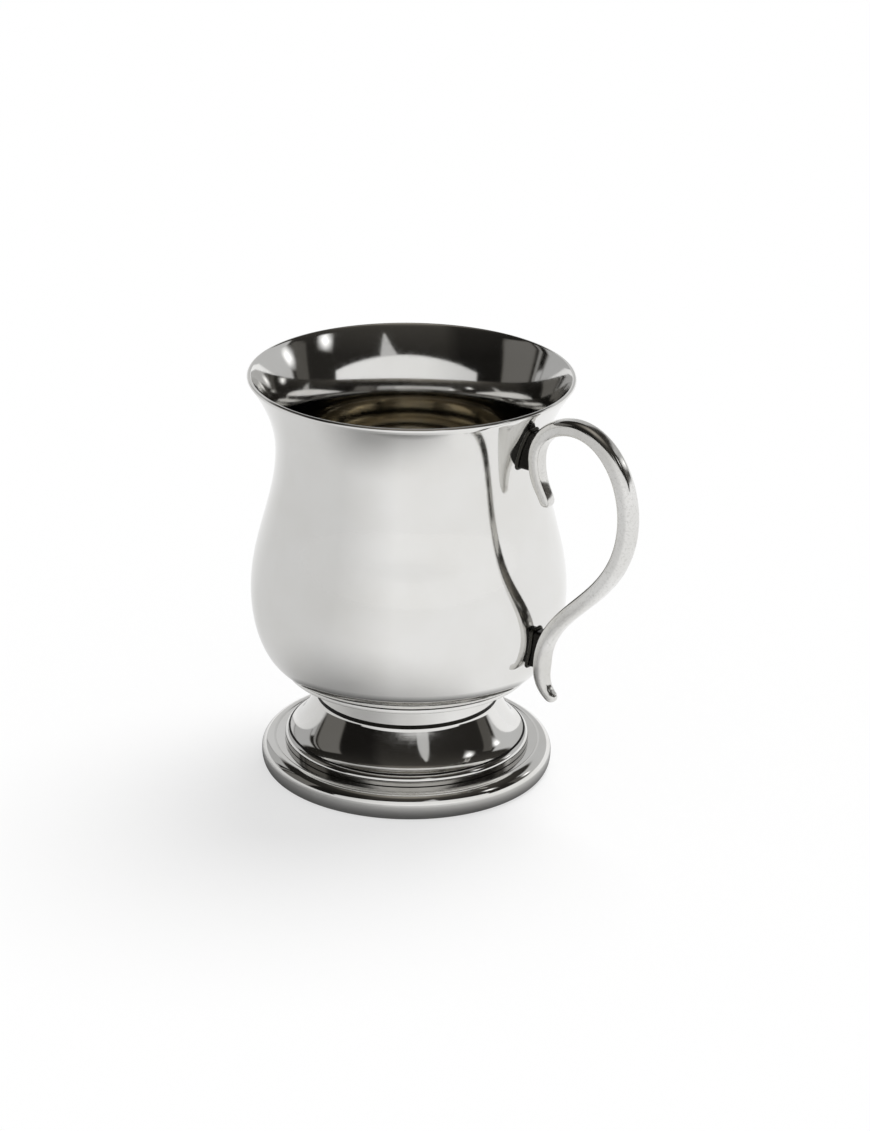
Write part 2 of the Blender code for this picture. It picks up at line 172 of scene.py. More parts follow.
def turned(name, outline):
    """Draw an outline of (radius, height) points, then spin it round the mug's axis."""
    let_go()
    start_radius, start_height = outline[0]
    start = AXIS + Vector((start_radius, 0, start_height))
    bpy.ops.mesh.primitive_plane_add(size=SEED_SIZE, location=start)
    piece = bpy.context.object
    piece.name = name
    bpy.ops.object.mode_set(mode="EDIT")
    bpy.ops.mesh.merge(type="CENTER")
    for (radius, height), (next_radius, next_height) in zip(outline, outline[1:]):
        step = (next_radius - radius, 0.0, next_height - height)
        bpy.ops.mesh.extrude_region_move(TRANSFORM_OT_translate={"value": step})
    bpy.ops.mesh.select_all(action="SELECT")
    bpy.ops.mesh.spin(steps=TURN_STEPS, angle=2 * math.pi, center=AXIS, axis=upright)
    bpy.ops.object.mode_set(mode="OBJECT")
    close_up(piece)
    return piece


# %% Draw part of an ellipse
def arc(centre, across, up, start, end, steps):
    """Points of an ellipse about a centre, from one angle to another in degrees."""
    points = []
    for i in range(steps + 1):
        angle = math.radians(start + (end - start) * i / steps)
        points.append((centre[0] + across * math.cos(angle), centre[1] + up * math.sin(angle)))
    return points


# %% [markdown]
# ## The bowl
#
# The bowl swells to a belly, narrows to a waist and flares to the rim.  A few hand-placed
# points and a subdivision could make it, but three plain curves say more about how it was
# drawn: a quarter ellipse up to the belly, half a wave up to the waist, and a parabola out
# to the rim.  The inside is the same line moved in by the thickness of the metal.

# %% Sizes of the bowl
BOTTOM_RADIUS = 0.0245
BELLY_RADIUS = 0.03195
WAIST_RADIUS = 0.02695
RIM_RADIUS = 0.0325
BOWL_WALL = 0.0009
BELLY_RISE = 0.0160
SHOULDER_RISE = 0.0294
BELLY_HEIGHT = BOTTOM_HEIGHT + BELLY_RISE
WAIST_HEIGHT = BELLY_HEIGHT + SHOULDER_RISE
FLARE_RISE = RIM_HEIGHT - WAIST_HEIGHT


def bowl_radius(height):
    """Outside radius of the bowl at a height."""
    if height >= WAIST_HEIGHT:
        share = (height - WAIST_HEIGHT) / FLARE_RISE
        return WAIST_RADIUS + (RIM_RADIUS - WAIST_RADIUS) * share**2
    if height >= BELLY_HEIGHT:
        share = (height - BELLY_HEIGHT) / SHOULDER_RISE
        swing = (BELLY_RADIUS - WAIST_RADIUS) / 2
        return WAIST_RADIUS + swing * (1 + math.cos(math.pi * share))
    share = min(1.0, (BELLY_HEIGHT - height) / BELLY_RISE)
    return BOTTOM_RADIUS + (BELLY_RADIUS - BOTTOM_RADIUS) * math.sqrt(1 - share**2)


print("belly at", round(BELLY_HEIGHT, 4), "waist at", round(WAIST_HEIGHT, 4))

# %% Draw the bowl's outside and inside
BELLY_STEPS = 30
SHOULDER_STEPS = 36
FLARE_STEPS = 24
LIP_STEPS = 8


def bowl_outside():
    """The bowl's outside from the edge of its bottom up to the rim."""
    bulge = BELLY_RADIUS - BOTTOM_RADIUS
    points = arc((BOTTOM_RADIUS, BELLY_HEIGHT), bulge, BELLY_RISE, -90, 0, BELLY_STEPS)
    shoulder = (BELLY_HEIGHT, SHOULDER_RISE, SHOULDER_STEPS)
    flare = (WAIST_HEIGHT, FLARE_RISE, FLARE_STEPS)
    for start, rise, steps in (shoulder, flare):
        for i in range(1, steps + 1):
            height = start + rise * i / steps
            points.append((bowl_radius(height), height))
    return points


def moved_in(points, distance):
    """The same line moved towards the inside of the bowl."""
    moved = []
    for i, point in enumerate(points):
        before = Vector(points[max(i - 1, 0)])
        after = Vector(points[min(i + 1, len(points) - 1)])
        way = (after - before).normalized()
        moved.append((point[0] - way.y * distance, point[1] + way.x * distance))
    return moved


outside = bowl_outside()
inside = moved_in(outside, BOWL_WALL)
inside[0] = (BOTTOM_RADIUS, BOTTOM_HEIGHT + BOWL_WALL)
print("bowl outline has", len(outside) + len(inside), "points")

# %% [markdown]
# The lip is rolled over to a full round, so that it is kind to a small mouth.  A bevel
# would do it too, but a half circle that joins the two lines is exact.

# %% Round the lip and turn the bowl
lip_middle = (Vector(outside[-1]) + Vector(inside[-1])) / 2
lip_reach = (Vector(outside[-1]) - Vector(inside[-1])) / 2
lip_rise = Vector((-lip_reach.y, lip_reach.x))
lip = []
for i in range(1, LIP_STEPS):
    angle = math.pi * i / LIP_STEPS
    lip.append(tuple(lip_middle + lip_reach * math.cos(angle) + lip_rise * math.sin(angle)))
bottom_middle = [(0.0, BOTTOM_HEIGHT)]
floor_middle = [(0.0, BOTTOM_HEIGHT + BOWL_WALL)]
bowl = turned("spun_bowl", bottom_middle + outside + lip + inside[::-1] + floor_middle)
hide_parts("bowl")
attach(bowl, "root")

# %% [markdown]
# ## The foot
#
# The foot carries the bowl on a narrow flange, curves in under it to an upright collar,
# sweeps out to a rounded step and ends in a rounded edge.  It is hollow underneath.  The
# same pen-and-spin method fits it, and the outline comes back to where it began, so the
# shell is closed.

# %% Sizes of the foot
FOOT_WIDEST_HEIGHT = 0.0030
LEDGE_HEIGHT = 0.0053
CREST_RISE = 0.0001
STEP_HEIGHT = 0.00232
STEP_ROUNDING = 0.00135
STEP_TOP = LEDGE_HEIGHT + STEP_HEIGHT
FLANGE_THICKNESS = 0.0009
COVE_RISE = 0.0030
COLLAR_RISE = 0.00335
COLLAR_TOP = FOOT_TOP - FLANGE_THICKNESS - COVE_RISE
NECK_HEIGHT = COLLAR_TOP - COLLAR_RISE
GROOVE_HEIGHT = 0.0009
CORNER_GRIME_AND_SHADE = 0.00015
FOOT_WALL = 0.0011
STEP_WALL = 0.0009
FLANGE_OVERHANG = 0.0007
FLANGE_WIDTH = 0.0016
COVE_DEPTH = 0.0050
SWEEP_REACH = 0.0064
SWEEP_START = 28
SWEEP_END = 66
SWEEP_PULLS = (0.73, 0.21)
LEDGE_WIDTH = 0.00245
CREST_ROLL = 0.0006
EDGE_BULGE = 0.0023
BASE_CORNER_WIDTH = 0.0012
BASE_CORNER_HEIGHT = 0.0026
STANDING_WIDTH = 0.0014

FLANGE_RADIUS = BOTTOM_RADIUS + FLANGE_OVERHANG
COVE_TOP_RADIUS = FLANGE_RADIUS - FLANGE_WIDTH
NECK_RADIUS = COVE_TOP_RADIUS - COVE_DEPTH
STEP_RADIUS = NECK_RADIUS + SWEEP_REACH
CREST_RADIUS = STEP_RADIUS + LEDGE_WIDTH
FOOT_RADIUS = CREST_RADIUS + EDGE_BULGE
print("neck radius", round(NECK_RADIUS, 4), "foot radius", round(FOOT_RADIUS, 5))


# %% Draw the sweep below the neck
def on_cubic(knots, share):
    """The point at a share of the way along a cubic Bezier curve."""
    rest = 1 - share
    weights = (rest**3, 3 * share * rest**2, 3 * share**2 * rest, share**3)
    return sum((knot * weight for knot, weight in zip(knots, weights)), knots[0] * 0.0)


def foot_sweep(top, bottom, steps):
    """Outline that leaves the neck at a slant and flattens out towards the step, going down."""
    top, bottom = Vector(top), Vector(bottom)
    pulls = []
    for slant, share in zip((SWEEP_START, SWEEP_END), SWEEP_PULLS):
        angle = math.radians(slant)
        pulls.append(Vector((math.sin(angle), -math.cos(angle))) * (bottom - top).length * share)
    knots = (top, top + pulls[0], bottom - pulls[1], bottom)
    return [tuple(on_cubic(knots, i / steps)) for i in range(steps + 1)]


# %% Draw the foot's outside
FLANGE_STEPS = 4
COVE_STEPS = 24
SWEEP_STEPS = 32
ROLL_STEPS = 16
CREST_STEPS = 8
EDGE_STEPS = 20
BASE_STEPS = 16

corner = FLANGE_THICKNESS / 4
corner_radius = FLANGE_RADIUS - corner
flange_under = FOOT_TOP - FLANGE_THICKNESS
crest_up = LEDGE_HEIGHT + CREST_RISE - FOOT_WIDEST_HEIGHT
base_corner = (FOOT_RADIUS - BASE_CORNER_WIDTH, BASE_CORNER_HEIGHT)
foot_outside = arc((corner_radius, FOOT_TOP - corner), corner, corner, 90, 0, FLANGE_STEPS)
foot_outside += arc((corner_radius, flange_under + corner), corner, corner, 0, -90, FLANGE_STEPS)
foot_outside += arc((COVE_TOP_RADIUS, COLLAR_TOP), COVE_DEPTH, COVE_RISE, 90, 180, COVE_STEPS)
foot_outside.append((NECK_RADIUS, NECK_HEIGHT + GROOVE_HEIGHT))
step_centre = (STEP_RADIUS - STEP_ROUNDING, STEP_TOP - STEP_ROUNDING)
step_roll = arc(step_centre, STEP_ROUNDING, STEP_ROUNDING, SWEEP_END, 0, ROLL_STEPS)
foot_outside += foot_sweep((NECK_RADIUS, NECK_HEIGHT), step_roll[0], SWEEP_STEPS)
foot_outside += step_roll[1:]
foot_outside.append((STEP_RADIUS, LEDGE_HEIGHT + CORNER_GRIME_AND_SHADE))
foot_outside.append((STEP_RADIUS, LEDGE_HEIGHT))
foot_outside += arc((CREST_RADIUS, LEDGE_HEIGHT), CREST_ROLL, CREST_RISE, 180, 90, CREST_STEPS)
foot_outside += arc((CREST_RADIUS, FOOT_WIDEST_HEIGHT), EDGE_BULGE, crest_up, 90, 0, EDGE_STEPS)[1:]
foot_outside += arc(base_corner, BASE_CORNER_WIDTH, BASE_CORNER_HEIGHT, 0, -90, BASE_STEPS)
print("foot's outside has", len(foot_outside), "points")

# %% Draw the foot's inside and turn the foot
INNER_EDGE_STEPS = 10
INNER_ROLL_STEPS = 6

standing_inner = FOOT_RADIUS - BASE_CORNER_WIDTH - STANDING_WIDTH
ledge_under = LEDGE_HEIGHT - FOOT_WALL
ledge_up = ledge_under - FOOT_WIDEST_HEIGHT
edge_centre = (CREST_RADIUS - FOOT_WALL, FOOT_WIDEST_HEIGHT)
cove_across = COVE_DEPTH + FOOT_WALL
cove_up = COVE_RISE + FLANGE_THICKNESS
foot_inside = [(standing_inner, 0.0), (standing_inner, BASE_CORNER_HEIGHT)]
foot_inside += arc(edge_centre, EDGE_BULGE, ledge_up, 0, 90, INNER_EDGE_STEPS)
neck_inner = (NECK_RADIUS - FOOT_WALL, NECK_HEIGHT - FOOT_WALL / 2)
inner_rounding = STEP_ROUNDING - STEP_WALL
inner_roll = arc(step_centre, inner_rounding, inner_rounding, 0, SWEEP_END, INNER_ROLL_STEPS)
foot_inside.append((STEP_RADIUS - STEP_WALL, ledge_under))
foot_inside += inner_roll
foot_inside += foot_sweep(neck_inner, inner_roll[-1], SWEEP_STEPS)[-2::-1]
foot_inside += arc((COVE_TOP_RADIUS, COLLAR_TOP), cove_across, cove_up, 180, 90, COVE_STEPS)
foot = turned("spun_foot", foot_outside + foot_inside + [foot_outside[0]])
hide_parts("foot")
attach(foot, "root")

# %% [markdown]
# ## The handle's curve
#
# Seen from the side the handle is an ear: a curled tip, an arch over the top, a long
# sweep in to the belly and a flicked tail.  A Bezier curve with five spans follows its
# inner face, the flat one.  The curve is drawn lying flat, because a flat curve never
# twists what is bent along it, and everything is stood up at the end.

# %% Sizes of the handle, from the seats up and down
UPPER_SEAT_DROP = 0.0083
LOWER_SEAT_DROP = 0.0048
SIDE_DROP = 0.0012
SCROLL_DROP = 0.0080
ARCH_DROP = 0.0030
GRIP_DROP = 0.0149
TURN_DROP = 0.0032
TAIL_DROP = 0.0069
TAIL_GAP = 0.0007
ARCH_REACH = 0.0079
SCROLL_THICKNESS = 0.0028
GRIP_THICKNESS = 0.0035
TAIL_THICKNESS = 0.0028

UPPER_SEAT_HEIGHT = RIM_HEIGHT - UPPER_SEAT_DROP
LOWER_SEAT_HEIGHT = BELLY_HEIGHT - LOWER_SEAT_DROP
SIDE_HEIGHT = UPPER_SEAT_HEIGHT - SIDE_DROP
ARCH_HEIGHT = RIM_HEIGHT - ARCH_DROP
GRIP_HEIGHT = ARCH_HEIGHT - GRIP_DROP
TAIL_HEIGHT = LOWER_SEAT_HEIGHT - TURN_DROP
handle_reach = handle_high.x - AXIS_X
handle_side = handle_low.x - AXIS_X
SCROLL_INNER = handle_side + SCROLL_THICKNESS
ARCH_INNER = SCROLL_INNER + ARCH_REACH
GRIP_INNER = handle_reach - GRIP_THICKNESS
TAIL_INNER = bowl_radius(LOWER_SEAT_HEIGHT) + TAIL_GAP
for spot, inner in (("scroll", SCROLL_INNER), ("grip", GRIP_INNER), ("tail", TAIL_INNER)):
    print("inner face at the", spot, round(inner, 5))

# %% Draw the curve
SCROLL_CURL = 0.0024
SCROLL_TIP_PULL = Vector((0.00108, -0.00272, 0))
GRIP_FULLNESS = 0.0170
TAIL_APPROACH = 0.0150
TAIL_FLICK = 0.0030
TAIL_TIP_PULL = Vector((0.00189, -0.00138, 0))
QUARTER = 0.5523
CURVE_STEPS = 64


def quarter_pull(across, up):
    """The pull that makes a quarter ellipse as wide as across or as high as up."""
    return Vector((across * QUARTER, up * QUARTER, 0))


scroll_tip = Vector((SCROLL_INNER + SCROLL_CURL, SIDE_HEIGHT - SCROLL_DROP, 0.0))
scroll_side = Vector((SCROLL_INNER, SIDE_HEIGHT, 0.0))
arch_top = Vector((ARCH_INNER, ARCH_HEIGHT, 0.0))
grip_side = Vector((GRIP_INNER, GRIP_HEIGHT, 0.0))
tail_turn = Vector((TAIL_INNER, TAIL_HEIGHT, 0.0))
tail_tip = Vector((TAIL_INNER + TAIL_FLICK, TAIL_HEIGHT - TAIL_DROP, 0.0))

knots = (
    (scroll_tip, SCROLL_TIP_PULL, -SCROLL_TIP_PULL),
    (scroll_side, quarter_pull(0, -SCROLL_DROP), quarter_pull(0, ARCH_HEIGHT - SIDE_HEIGHT)),
    (arch_top, quarter_pull(-ARCH_REACH, 0), quarter_pull(GRIP_INNER - ARCH_INNER, 0)),
    (grip_side, quarter_pull(0, GRIP_DROP), Vector((0, -GRIP_FULLNESS, 0))),
    (tail_turn, Vector((0, TAIL_APPROACH, 0)), quarter_pull(0, -TAIL_DROP)),
    (tail_tip, -TAIL_TIP_PULL, TAIL_TIP_PULL),
)
let_go()
bpy.ops.curve.primitive_bezier_curve_add()
handle_curve = bpy.context.object
handle_curve.name = "handle_curve"
handle_curve.data.dimensions = "2D"
handle_curve.data.resolution_u = CURVE_STEPS
spline = handle_curve.data.splines[0]
spline.bezier_points.add(len(knots) - 2)
for point, (place, before, after) in zip(spline.bezier_points, knots):
    point.handle_left_type = "FREE"
    point.handle_right_type = "FREE"
    point.co = place
    point.handle_left = place + before
    point.handle_right = place + after
print("handle's inner face is", round(spline.calc_length() * 1000, 2), "mm long")

# %% [markdown]
# ## The handle's bar
#
# The bar's section is flat inside, where the finger goes, and well rounded on the back.
# It is a flat square with a large bevel on its two back corners and a smaller one on its
# two front corners.  Extruding it step by step, and scaling it a little at each step,
# gives the taper, and a few quick steps at each end round off the tips.

# %% Find how long each span of the curve is
SPAN_SAMPLES = 60


def span_length(first, second):
    """Length of the curve between two knots, each a place and its two pulls."""
    span = (first[0], first[0] + first[2], second[0] + second[1], second[0])
    places = [on_cubic(span, i / SPAN_SAMPLES) for i in range(SPAN_SAMPLES + 1)]
    return sum((b - a).length for a, b in zip(places, places[1:]))


span_ends = [0.0]
for first, second in zip(knots, knots[1:]):
    span_ends.append(span_ends[-1] + span_length(first, second))
print("spans end at", [round(value * 1000, 2) for value in span_ends])

# %% Lay out the bar's sections
SECTION_WIDTHS = (0.0029, 0.0037, 0.00385, 0.0040, 0.0040, 0.0026)
SECTION_THICKNESSES = (0.0024, SCROLL_THICKNESS, 0.00315, GRIP_THICKNESS, TAIL_THICKNESS, 0.0019)
STEP_LENGTH = 0.0006
TIP_ROUNDING = 0.0014
TIP_ANGLE = 85
TIP_STEPS = 7


def section_at(distance):
    """Width and thickness of the bar at a distance along the curve."""
    sizes = (SECTION_WIDTHS, SECTION_THICKNESSES)
    for i, (start, end) in enumerate(zip(span_ends, span_ends[1:])):
        if distance <= end:
            share = max(0.0, (distance - start) / (end - start))
            return [size[i] + (size[i + 1] - size[i]) * share for size in sizes]
    return [size[-1] for size in sizes]


def tip_step(i):
    """How far out a step of a rounded tip lies, and the share of the size that is left there."""
    angle = math.radians(TIP_ANGLE * i / TIP_STEPS)
    return TIP_ROUNDING * math.sin(angle), math.cos(angle)


total_length = span_ends[-1]
count = round(total_length / STEP_LENGTH)
stations = [(-out, left) for out, left in map(tip_step, range(TIP_STEPS, 0, -1))]
stations += [(total_length * i / count, 1.0) for i in range(count + 1)]
stations += [(total_length + out, left) for out, left in map(tip_step, range(1, TIP_STEPS + 1))]
print("the bar has", len(stations), "sections")

# %% Bevel a square into the bar's section
SECTION_FLATNESS = 0.80
BACK_ROUNDING = 0.36
BACK_SEGMENTS = 12
FRONT_ROUNDING = 0.20
FRONT_SEGMENTS = 6

start_width, start_thickness = section_at(0.0)
first_distance, first_scale = stations[0]

let_go()
bpy.ops.mesh.primitive_plane_add(size=1.0, rotation=(0.0, math.pi / 2, 0.0))
handle = bpy.context.object
handle.name = "cast_handle"
bpy.ops.object.transform_apply(rotation=True)
bpy.ops.object.mode_set(mode="EDIT")
bpy.ops.transform.resize(value=(1.0, SECTION_FLATNESS, 1.0), center_override=(0, 0, 0))
pick_points(handle, lambda place: place.y > 0)
bpy.ops.mesh.bevel(offset=BACK_ROUNDING, segments=BACK_SEGMENTS, affect="VERTICES")
pick_points(handle, lambda place: place.y < -SECTION_FLATNESS / 2 + MERGE_DISTANCE)
bpy.ops.mesh.bevel(offset=FRONT_ROUNDING, segments=FRONT_SEGMENTS, affect="VERTICES")
bpy.ops.mesh.select_all(action="SELECT")
first_size = (1.0, start_thickness / SECTION_FLATNESS * first_scale, start_width * first_scale)
bpy.ops.transform.resize(value=first_size, center_override=(0, 0, 0))
bpy.ops.transform.translate(value=(first_distance, start_thickness / 2, 0.0))
print("the section has", len(bmesh.from_edit_mesh(handle.data).verts), "points")

# %% Extrude the bar from tip to tip
last_distance, last_scale = stations[0]
last_width, last_thickness = start_width, start_thickness
for distance, scale in stations[1:]:
    width, thickness = section_at(distance)
    step = (distance - last_distance, 0, 0)
    bpy.ops.mesh.extrude_region_move(TRANSFORM_OT_translate={"value": step})
    on_tip = distance <= 0.0 or distance > total_length
    middle = (distance, thickness / 2 if on_tip else 0.0, 0.0)
    growth = scale / last_scale
    size = (1.0, growth * thickness / last_thickness, growth * width / last_width)
    bpy.ops.transform.resize(value=size, center_override=middle)
    last_distance, last_scale, last_width, last_thickness = distance, scale, width, thickness
bpy.ops.object.mode_set(mode="OBJECT")
print("the bar is", round((stations[-1][0] - stations[0][0]) * 1000, 2), "mm long")

# %% [markdown]
# Bending the straight bar keeps its section square to the curve everywhere, as a real
# strap is when it is bent in a jig.  After that the curve has done its work and goes.

# %% Bend the bar along the curve and stand it up
pick(handle)
bend = handle.modifiers.new("bend", "CURVE")
bend.object = handle_curve
bend.deform_axis = "POS_X"
bpy.ops.object.modifier_apply(modifier=bend.name)
handle.rotation_euler.x = math.pi / 2
handle.location = AXIS
close_up(handle)
bpy.data.objects.remove(handle_curve)
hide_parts("handle")
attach(handle, "root")
print("handle from", [round(min(p.co[i] for p in handle.data.vertices), 5) for i in range(3)])

# %% [markdown]
# ## The lugs
#
# The handle never touches the bowl.  A small block at each end stands between them, cast
# on the handle and filed to the bowl's curve.  A cube can't follow that curve, so the
# block is extruded upwards level by level, and each level's two ends are moved to the
# bowl and to the handle.  Both ends run a little way into their neighbours, where the
# solder would hide the joint.

# %% Make a lug
LUG_WIDTH = 0.0030
LUG_SINK = 0.0003
LUG_LEVELS = 10
LUG_EDGE = 0.0006
LUG_EDGE_SEGMENTS = 5


def make_lug(name, seat_height, length, handle_face):
    """A block on the bowl, whose other end follows handle_face(height)."""
    let_go()
    low = seat_height - length / 2
    near = bowl_radius(low) - LUG_SINK
    far = handle_face(low)
    start = AXIS + Vector(((near + far) / 2, 0.0, low))
    bpy.ops.mesh.primitive_plane_add(size=1.0, location=start)
    lug = bpy.context.object
    lug.name = name
    bpy.ops.object.mode_set(mode="EDIT")
    middle = lug.location.copy()
    bpy.ops.transform.resize(value=(far - near, LUG_WIDTH, 1.0), center_override=middle)
    rise = length / LUG_LEVELS
    for level in range(1, LUG_LEVELS + 1):
        below, here = rise * (level - 1), rise * level
        height = low + here
        bpy.ops.mesh.select_all(action="DESELECT")
        pick_points(lug, lambda place: abs(place.z - below) < MERGE_DISTANCE)
        bpy.ops.mesh.extrude_region_move(TRANSFORM_OT_translate={"value": (0, 0, rise)})
        split = (bowl_radius(height) + handle_face(height)) / 2 + AXIS_X - middle.x
        for face_at, at_bowl in ((bowl_radius, True), (handle_face, False)):
            pick_points(
                lug,
                lambda place: abs(place.z - here) < MERGE_DISTANCE and (place.x < split) == at_bowl,
            )
            change = face_at(height) - face_at(height - rise)
            bpy.ops.transform.translate(value=(change, 0, 0))
    bpy.ops.object.mode_set(mode="OBJECT")
    close_up(lug)
    easing = lug.modifiers.new("eased edges", "BEVEL")
    easing.width = LUG_EDGE
    easing.segments = LUG_EDGE_SEGMENTS
    bpy.ops.object.modifier_apply(modifier=easing.name)
    bpy.ops.object.shade_smooth_by_angle(angle=ARRIS_ANGLE)
    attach(lug, "root")
    return lug


# %% Make both lugs
UPPER_LUG_LENGTH = 0.0080
LOWER_LUG_LENGTH = 0.0078
SCROLL_BITE = 0.0021
TAIL_BITE = 0.0007
TAIL_LEAN = 0.22


def scroll_face(height):
    """How far out the upper lug reaches into the scroll, the same at every height."""
    return handle_side + SCROLL_BITE


def tail_face(height):
    """How far out the lower lug reaches into the tail at a height."""
    return TAIL_INNER + TAIL_BITE + max(0.0, height - TAIL_HEIGHT) * TAIL_LEAN


upper_lug = make_lug("upper_lug", UPPER_SEAT_HEIGHT, UPPER_LUG_LENGTH, scroll_face)
lower_lug = make_lug("lower_lug", LOWER_SEAT_HEIGHT, LOWER_LUG_LENGTH, tail_face)
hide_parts("upper_handle_lug")
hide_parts("lower_handle_lug")

# %% [markdown]
# ## The solder
#
# Solder creeps out round each lug and sets as a small bead on the bowl.  A torus would be
# round, but the lug is a long block.  So a rectangle's corners are rounded, its edge is
# pressed on to the bowl with a shrinkwrap, and that line is given a thickness as a curve.
# The ring of solder under the bowl is out of sight, so there the CAD's own ring stays.

# %% Make a bead of solder round a lug
BEAD_RADIUS = 0.00038
BEAD_ROUNDNESS = 3
BEAD_SPREAD = 0.00010
BEAD_CORNER = 0.0006
BEAD_CORNER_SEGMENTS = 4
BEAD_CUTS = 5
PRESS_DISTANCE = 0.01


def make_bead(name, seat_height, length):
    """A rounded line of solder that lies on the bowl, all round a lug."""
    let_go()
    start = AXIS + Vector((bowl_radius(seat_height) + PRESS_DISTANCE, 0.0, seat_height))
    bpy.ops.mesh.primitive_plane_add(size=1.0, location=start, rotation=(0.0, math.pi / 2, 0.0))
    bead = bpy.context.object
    bead.name = name
    bpy.ops.object.transform_apply(rotation=True)
    bpy.ops.object.mode_set(mode="EDIT")
    size = (1.0, LUG_WIDTH + 2 * BEAD_SPREAD, length + 2 * BEAD_SPREAD)
    bpy.ops.transform.resize(value=size, center_override=start)
    bpy.ops.mesh.bevel(offset=BEAD_CORNER, segments=BEAD_CORNER_SEGMENTS, affect="VERTICES")
    bpy.ops.mesh.select_all(action="SELECT")
    bpy.ops.mesh.delete(type="ONLY_FACE")
    bpy.ops.mesh.select_all(action="SELECT")
    bpy.ops.mesh.subdivide(number_cuts=BEAD_CUTS)
    bpy.ops.object.mode_set(mode="OBJECT")
    wrap = bead.modifiers.new("pressed on the bowl", "SHRINKWRAP")
    wrap.target = bowl
    wrap.wrap_method = "PROJECT"
    wrap.use_project_x = True
    wrap.use_negative_direction = True
    wrap.use_positive_direction = False
    bpy.ops.object.modifier_apply(modifier=wrap.name)
    bpy.ops.object.convert(target="CURVE")
    bead.data.bevel_depth = BEAD_RADIUS
    bead.data.bevel_resolution = BEAD_ROUNDNESS
    bpy.ops.object.convert(target="MESH")
    close_up(bead)
    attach(bead, "root")
    return bead


upper_bead = make_bead("upper_solder_bead", UPPER_SEAT_HEIGHT, UPPER_LUG_LENGTH)
lower_bead = make_bead("lower_solder_bead", LOWER_SEAT_HEIGHT, LOWER_LUG_LENGTH)
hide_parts("upper_handle_solder")
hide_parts("lower_handle_solder")

# %% [markdown]
# ## The metal
#
# Pewter is mostly tin: pale, slightly warm, and soft enough to pick up fine marks.  One
# function builds the finish and each piece sets its own colour and polish.  The marks
# follow how the piece was made: faint rings run round what was spun, and small pits cover
# what was cast.  The pattern reads Object coordinates, so it stays on the metal.

# %% Build a pewter finish
def put(tree, kind, **settings):
    """Add a node and set its plain properties."""
    node = tree.nodes.new(kind)
    for name, value in settings.items():
        setattr(node, name, value)
    return node


def noise(tree, place, scale, detail, stretch=(1, 1, 1)):
    """Noise on coordinates that can be stretched along an axis; returns its socket."""
    mapping = put(tree, "ShaderNodeMapping")
    mapping.inputs["Scale"].default_value = stretch
    tree.links.new(place, mapping.inputs["Vector"])
    texture = put(tree, "ShaderNodeTexNoise")
    texture.inputs["Scale"].default_value = scale
    texture.inputs["Detail"].default_value = detail
    tree.links.new(mapping.outputs["Vector"], texture.inputs["Vector"])
    return texture.outputs["Fac"]


def spread(tree, value, low, high, new_low, new_high):
    """Map a value from one range to another."""
    node = put(tree, "ShaderNodeMapRange")
    names = ("From Min", "From Max", "To Min", "To Max")
    for name, number in zip(names, (low, high, new_low, new_high)):
        node.inputs[name].default_value = number
    tree.links.new(value, node.inputs["Value"])
    return node.outputs["Result"]


def combine(tree, operation, first, second=0.0):
    """Combine two values, each a socket or a number; some operations read only the first."""
    node = put(tree, "ShaderNodeMath", operation=operation)
    for socket, value in zip(node.inputs, (first, second)):
        if isinstance(value, (int, float)):
            socket.default_value = value
        else:
            tree.links.new(value, socket)
    return node.outputs["Value"]


def weighed_sum(tree, first, first_weight, second, second_weight):
    """The sum of two values, each times its own weight."""
    weighed = combine(tree, "MULTIPLY", first, first_weight)
    return combine(tree, "ADD", weighed, combine(tree, "MULTIPLY", second, second_weight))


def along(tree, direction, axis):
    """How far a direction points along an axis."""
    node = put(tree, "ShaderNodeVectorMath", operation="DOT_PRODUCT")
    tree.links.new(direction, node.inputs[0])
    node.inputs[1].default_value = axis
    return node.outputs["Value"]


COLOUR_INPUTS = (6, 7)
COLOUR_OUTPUT = 2


def blend_colour(tree, share, first, second):
    """Mix two colours, each a socket or three numbers."""
    node = put(tree, "ShaderNodeMix", data_type="RGBA")
    tree.links.new(share, node.inputs["Factor"])
    for number, value in zip(COLOUR_INPUTS, (first, second)):
        if isinstance(value, tuple):
            node.inputs[number].default_value = (*value, 1.0)
        else:
            tree.links.new(value, node.inputs[number])
    return node.outputs[COLOUR_OUTPUT]


# %% Mix the colour, the polish and the marks
CLOUD_SCALE = 90.0
CLOUD_RANGE = (0.35, 0.75)
WEAR_SCALE = 900.0
WEAR_RANGE = (0.3, 0.7)
WEAR_SWING = (0.75, 1.3)


